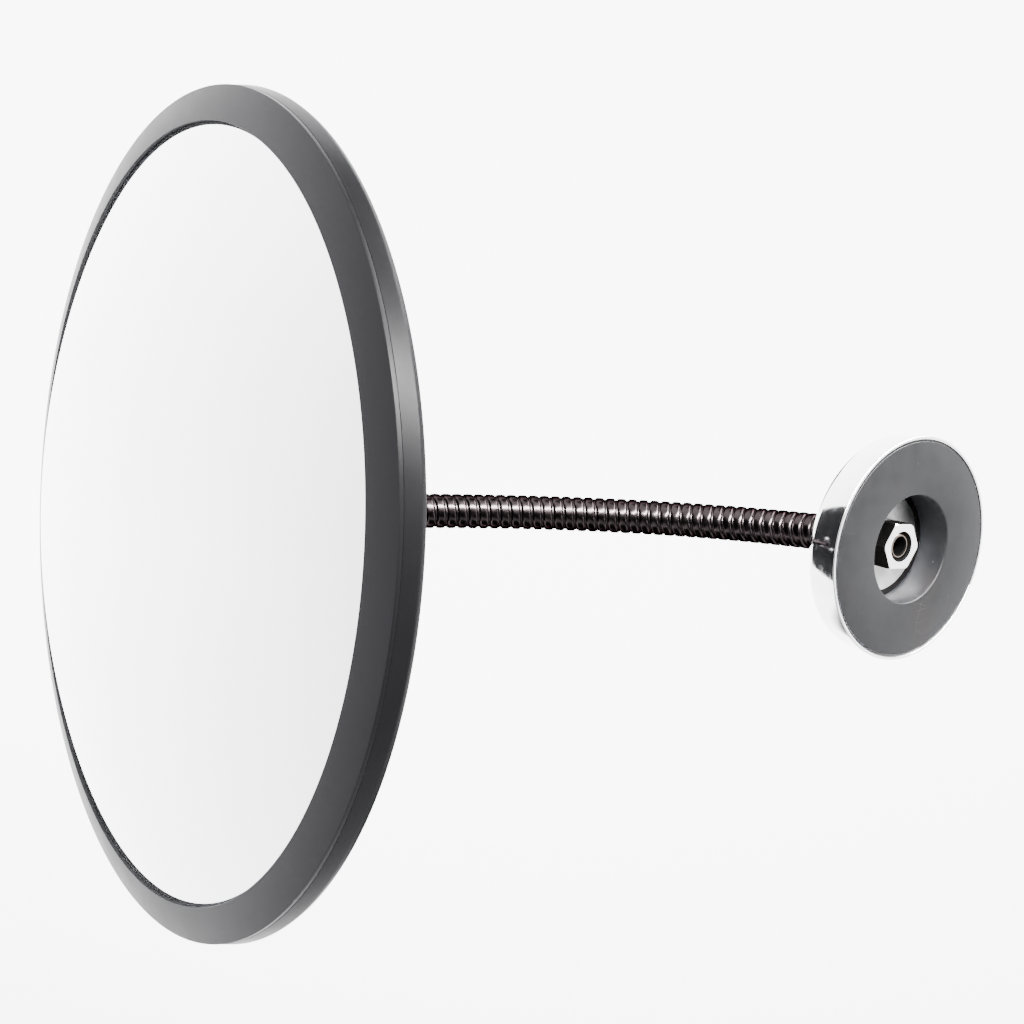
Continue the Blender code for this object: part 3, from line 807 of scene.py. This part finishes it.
def magnet_cup():
    """The drawn steel cup: a thin polished rim, a slightly tapered wall and a rounded back."""
    inner = CUP_RADIUS - CUP_WALL
    floor = -CUP_HEIGHT + CUP_FLOOR
    corners = [
        (inner, 0.0, 0.15 * MM),
        (CUP_RADIUS - 0.05 * MM, 0.0, 0.35 * MM),
        (CUP_RADIUS - CUP_TAPER, -CUP_HEIGHT, CUP_BACK_FILLET),
        (THREAD_RADIUS + GAP, -CUP_HEIGHT, 0.2 * MM),
        (THREAD_RADIUS + GAP, floor, 0.2 * MM),
        (inner - 0.9 * MM, floor, 1.5 * MM),
    ]
    cup = turned("cup_shell", filleted(corners, 10), FOOT_SEGMENTS, FOOT, CHROME)

    def on_floor(radius, height, axial):
        return radius < inner - 1.5 * MM and height > -CUP_HEIGHT + 0.1 * MM

    # The floor inside the bore is painted darker, duller steel: partly smeared glue, partly painted
    # shade.
    paint(cup, FOOT, STEEL_AND_FLOOR_SHADE, on_floor)
    finish_piece(cup, "base", "cup_chrome", "magnet_cup")


def ferrite_ring():
    """The ring magnet with softened edges."""
    bottom = -CUP_HEIGHT + CUP_FLOOR + GAP
    corners = [
        (FERRITE_BORE, 0.0, 0.5 * MM),
        (FERRITE_RADIUS, 0.0, 0.25 * MM),
        (FERRITE_RADIUS, bottom, 0.8 * MM),
        (FERRITE_BORE, bottom, 0.3 * MM),
    ]
    ring = turned("magnet_ring", filleted(corners), FOOT_SEGMENTS, FOOT, FERRITE)
    finish_piece(ring, "base", "ferrite", "ferrite_ring")


def resin_ring():
    """The thin line of adhesive round the magnet, and its bead at the foot of the bore."""
    inner = FERRITE_RADIUS + RESIN_GAP
    outer = CUP_RADIUS - CUP_WALL - RESIN_GAP
    bottom = -CUP_HEIGHT + CUP_BACK_FILLET
    line = [
        (inner, RESIN_TOP, 0.05 * MM),
        (outer, RESIN_TOP, 0.05 * MM),
        (outer, bottom, 0.0),
        (inner, bottom, 0.0),
    ]
    ring = turned("resin_line", filleted(line, 3), FOOT_SEGMENTS, FOOT, RESIN)
    finish_piece(ring, "base", "resin", "resin_ring")
    floor = -CUP_HEIGHT + CUP_FLOOR
    corners = [
        (FERRITE_BORE - BEAD_WIDTH, floor + BEAD_GAP, 0.0),
        (FERRITE_BORE - BEAD_GAP, floor + BEAD_GAP, 0.0),
        (FERRITE_BORE - BEAD_GAP, floor + BEAD_HEIGHT, 0.0),
    ]
    # The bead is painted dull black: black resin, its blackness partly painted shade at the foot of
    # the bore.
    bead = turned("resin_bead", filleted(corners), 128, FOOT, PAINTED_SHADE_BLACK)
    finish_piece(bead, "base", "resin")


def foot_fittings():
    """The nut in the magnet's recess, the hollow thread in it and the neck's collar behind."""
    nut_bottom = -CUP_HEIGHT + CUP_FLOOR + GAP
    finish_piece(nut("base_hex_nut", FOOT, nut_bottom), "base", "zinc", "base_nut")
    ferrule_top = -CUP_HEIGHT - GAP
    finish_piece(ferrule("base_collar", FOOT, ferrule_top), "base", "black_steel", "base_ferrule")
    nipple_bottom = ferrule_top - FERRULE_LENGTH + SOCKET_DEPTH + GAP
    thread = nipple("base_thread", FOOT, nut_bottom + NUT_HEIGHT - 0.8 * MM, nipple_bottom)
    finish_piece(thread, "base", "zinc", "base_nipple")


# Neck


class Neck:
    """The neck's centre line, with a frame that doesn't twist carried along it."""

    SAMPLES = 1200

    def __init__(self):
        end = HEAD_CENTRE - NECK_SETBACK * direction(HEAD_AZIMUTH, HEAD_ELEVATION)
        leave = NECK_START + NECK_HANDLE * direction(-90.0, NECK_DROOP)
        arrive = end - NECK_HANDLE * direction(HEAD_AZIMUTH, NECK_RISE)
        self.points = []
        for i in range(self.SAMPLES + 1):
            t = i / self.SAMPLES
            s = 1 - t
            ends = s**3 * NECK_START, t**3 * end
            handles = 3 * s * s * t * leave, 3 * s * t * t * arrive
            self.points.append(ends[0] + handles[0] + handles[1] + ends[1])
        self.travelled = [0.0]
        for a, b in zip(self.points, self.points[1:]):
            self.travelled.append(self.travelled[-1] + (b - a).length)
        self.length = self.travelled[-1]
        self.tangents = []
        for i in range(self.SAMPLES + 1):
            after = self.points[min(i + 1, self.SAMPLES)]
            before = self.points[max(i - 1, 0)]
            self.tangents.append((after - before).normalized())
        side = self.tangents[0].cross(Vector((0.0, 0.0, 1.0))).normalized()
        self.sides = [side]
        for a, b in zip(self.tangents, self.tangents[1:]):
            side = a.rotation_difference(b) @ side
            side = (side - b * side.dot(b)).normalized()
            self.sides.append(side)

    def at(self, distance):
        """(point, tangent, side) at this distance from the foot's end."""
        share = max(0.0, min(1.0, distance / self.length))
        i = min(int(share * self.SAMPLES), self.SAMPLES - 1)
        while i > 0 and self.travelled[i] > distance:
            i -= 1
        while i < self.SAMPLES - 1 and self.travelled[i + 1] < distance:
            i += 1
        part = (distance - self.travelled[i]) / (self.travelled[i + 1] - self.travelled[i])
        point = self.points[i].lerp(self.points[i + 1], part)
        tangent = self.tangents[i].lerp(self.tangents[i + 1], max(0.0, min(1.0, part))).normalized()
        side = self.sides[i].lerp(self.sides[i + 1], max(0.0, min(1.0, part))).normalized()
        return point, tangent, side

    def ring_point(self, distance, radius, angle):
        """A point this far out from the centre line, at this angle round it."""
        point, tangent, side = self.at(distance)
        other = tangent.cross(side)
        return point + side * (radius * math.cos(angle)) + other * (radius * math.sin(angle))


NECK = Neck()
COIL_START = GAP
COIL_END = NECK.length - GAP
PITCH = (COIL_END - COIL_START) / (COIL_TURNS + 1)


def wound(name, section, first, last, shift, material):
    """A wire of this (along, radius) section wound from turn first to turn last of the neck."""
    body = bmesh.new()
    steps = round((last - first) * STEPS_PER_TURN)
    rows = []
    for k in range(steps + 1):
        turn = first + (last - first) * k / steps
        middle = COIL_START + PITCH * (turn + 0.5 + shift)
        row = []
        for along, radius in section:
            distance = min(COIL_END, max(COIL_START, middle + along))
            row.append(body.verts.new(NECK.ring_point(distance, radius, 2 * math.pi * turn)))
        rows.append(row)
    count = len(section)
    for a, b in zip(rows, rows[1:]):
        for i in range(count):
            j = (i + 1) % count
            body.faces.new((a[i], a[j], b[j], b[i]))
    body.faces.new(rows[0])
    body.faces.new(rows[-1])
    return object_from(name, body, Matrix.Identity(4), material)


def wide_section():
    """The flat wire's section: a nearly flat outer face and flanks that narrow inwards."""
    crown = []
    for i in range(11):
        u = -1 + 2 * i / 10
        crown.append((WIDE_HALF * u, COIL_RADIUS - 0.12 * MM * u * u - 0.42 * MM * abs(u) ** 7))
    return crown + [(WIDE_HALF * 0.6, WIDE_INNER), (-WIDE_HALF * 0.6, WIDE_INNER)]


def round_section():
    """The round wire's section."""
    section = []
    for i in range(10):
        angle = 2 * math.pi * i / 10
        along = -ROUND_RADIUS * math.cos(angle)
        section.append((along, ROUND_MIDDLE + ROUND_RADIUS * math.sin(angle)))
    return section


def neck():
    """Both wires, in one length for each joint, between the two links it joins."""
    for i in range(JOINT_COUNT):
        first = 0.0 if i == 0 else COIL_TURNS * i / JOINT_COUNT
        last = COIL_TURNS * (i + 1) / JOINT_COUNT
        start = NECK.at(NECK.length * i / JOINT_COUNT + BEND_INSET)[0]
        end = NECK.at(NECK.length * (i + 1) / JOINT_COUNT - BEND_INSET)[0]
        nodes = [i, i + 1] if i == JOINT_COUNT - 1 else [i]
        for kind, section, shift, material, slot in (
            ("outer", wide_section(), 0.0, BLACK_COIL, "black_steel"),
            ("inner", round_section(), 0.5, BLACK_WIRE, "black_wire"),
        ):
            wire = wound(f"{kind}_wire_{i + 1:02d}", section, first, last, shift, material)
            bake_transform(wire)
            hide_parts(*[f"{kind}_coil_{n:02d}" for n in nodes])


# CAD nodes that stay


def finish_cad_nodes():
    """The inner pieces keep their CAD shapes and get finished materials."""
    kept = {"lens_gasket": FOAM, "hub_plate": STEEL_AND_FLOOR_SHADE, "head_lock_washer": ZINC}
    for node, material in kept.items():
        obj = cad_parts[node]
        obj.data.materials.clear()
        obj.data.materials.append(material)


# Camera and stage


def camera():
    data = bpy.data.cameras.new("camera")
    data.lens = CAMERA_LENS
    data.sensor_width = SENSOR_WIDTH
    data.clip_start = 0.02
    data.clip_end = 50.0
    eye = bpy.data.objects.new("camera", data)
    bpy.context.scene.collection.objects.link(eye)
    turn = Matrix.Rotation(math.radians(CAMERA_AZIMUTH + 90), 4, "Z")
    tilt = Matrix.Rotation(math.radians(90 - CAMERA_ELEVATION), 4, "X")
    roll = Matrix.Rotation(math.radians(CAMERA_ROLL), 4, "Z")
    eye.matrix_world = Matrix.Translation(CAMERA_PLACE) @ turn @ tilt @ roll
    bpy.context.scene.camera = eye


def strip_light(name, towards, width, height, radiance):
    """A long soft light that faces the object and shows only as a highlight on glossy pieces."""
    data = bpy.data.lights.new(name, "AREA")
    data.shape = "RECTANGLE"
    data.size = width
    data.size_y = height
    data.energy = radiance * math.pi * width * height
    lamp = bpy.data.objects.new(name, data)
    bpy.context.scene.collection.objects.link(lamp)
    lamp.matrix_world = placed(AIM + towards * LIGHT_DISTANCE, towards)
    lamp.visible_camera = False
    lamp.visible_diffuse = False


def flag(name, centre, towards, width, depth, softness):
    """A black panel that only glossy pieces see, as a photographer's flag darkens reflections."""
    body = bmesh.new()
    size = Matrix.Diagonal((width, depth, 1.0, 1.0))
    bmesh.ops.create_grid(body, x_segments=1, y_segments=1, size=0.5, matrix=size)
    mesh = bpy.data.meshes.new(name)
    body.to_mesh(mesh)
    body.free()
    mesh.materials.append(soft_black(width, depth, softness))
    panel = bpy.data.objects.new(name, mesh)
    bpy.context.scene.collection.objects.link(panel)
    panel.matrix_world = placed(centre, towards)
    panel.visible_camera = False
    panel.visible_diffuse = False
    panel.visible_shadow = False


def flags():
    """The black panels: before the neck, behind it, above it, and two level ones below it."""
    before = direction(FLAG_AZIMUTH, 0.0)
    up = Vector((0.0, 0.0, 1.0))
    for name, centre, towards, width, depth, softness in (
        ("front", AIM + before * FLAG_DISTANCE, before, 2.0, 0.8, 0.3),
        ("back", Vector((-0.06, -0.34, 0.12)), Vector((0.0, 1.0, 0.0)), 0.21, 0.21, 0.03),
        ("above", Vector((-0.12, -0.135, 0.66)), Vector((0.0, -0.50, 0.86)), 0.58, 0.45, 0.10),
        ("below", Vector((0.045, -0.0725, LOW_FLAG_HEIGHT)), up, 0.21, 0.165, 0.03),
        ("floor", Vector((0.35, 0.60, LOW_FLAG_HEIGHT)), up, 1.1, 1.15, 0.15),
    ):
        flag(f"flag_{name}", centre, towards, width, depth, softness)


def surround():
    """A white floor that curves up into a round wall and a dome, so no view shows an edge."""
    wall = SURROUND_RADIUS - SURROUND_BEND
    steps = 16
    outline = [(0.0, 0.0), (wall * 0.3, 0.0), (wall * 0.7, 0.0)]
    for i in range(steps + 1):
        angle = math.radians(90.0 * i / steps)
        height = SURROUND_BEND * (1 - math.cos(angle))
        outline.append((wall + SURROUND_BEND * math.sin(angle), height))
    for i in range(1, steps):
        angle = math.radians(90.0 * i / steps)
        height = SURROUND_BEND + SURROUND_RADIUS * math.sin(angle)
        outline.append((SURROUND_RADIUS * math.cos(angle), height))
    outline.append((0.0, SURROUND_BEND + SURROUND_RADIUS))
    place = Matrix.Translation((AIM.x, AIM.y, FLOOR_HEIGHT))
    dome = turned("floor", outline, 96, place, studio_white(), closed=False)
    dome.visible_diffuse = False
    dome.visible_shadow = False


def sky():
    """Soft light from all round, stronger from above and behind."""
    world = bpy.data.worlds.new("studio")
    world.use_nodes = True
    tree = world.node_tree
    background = tree.nodes["Background"]
    side = tree.nodes.new("ShaderNodeVectorMath")
    side.operation = "DOT_PRODUCT"
    tree.links.new(tree.nodes.new("ShaderNodeTexCoord").outputs["Generated"], side.inputs[0])
    side.inputs[1].default_value = direction(SKY_AZIMUTH, SKY_ELEVATION)
    spread = tree.nodes.new("ShaderNodeMath")
    spread.operation = "MULTIPLY_ADD"
    tree.links.new(side.outputs["Value"], spread.inputs[0])
    spread.inputs[1].default_value = SKY_SWING
    spread.inputs[2].default_value = SKY
    tree.links.new(spread.outputs[0], background.inputs["Strength"])
    background.inputs["Color"].default_value = (1.0, 1.0, 1.0, 1.0)
    bpy.context.scene.world = world


camera()
surround()
sky()
flags()
strip_light("highlight", direction(85.0, 43.0), width=3.2, height=0.35, radiance=340.0)
strip_light("side_highlight", direction(158.0, 47.0), width=1.0, height=0.6, radiance=40.0)

mirror_lens()
front_bezel()
back_shell()
hub_screws()
head_fittings()
magnet_cup()
ferrite_ring()
resin_ring()
foot_fittings()
neck()
finish_cad_nodes()
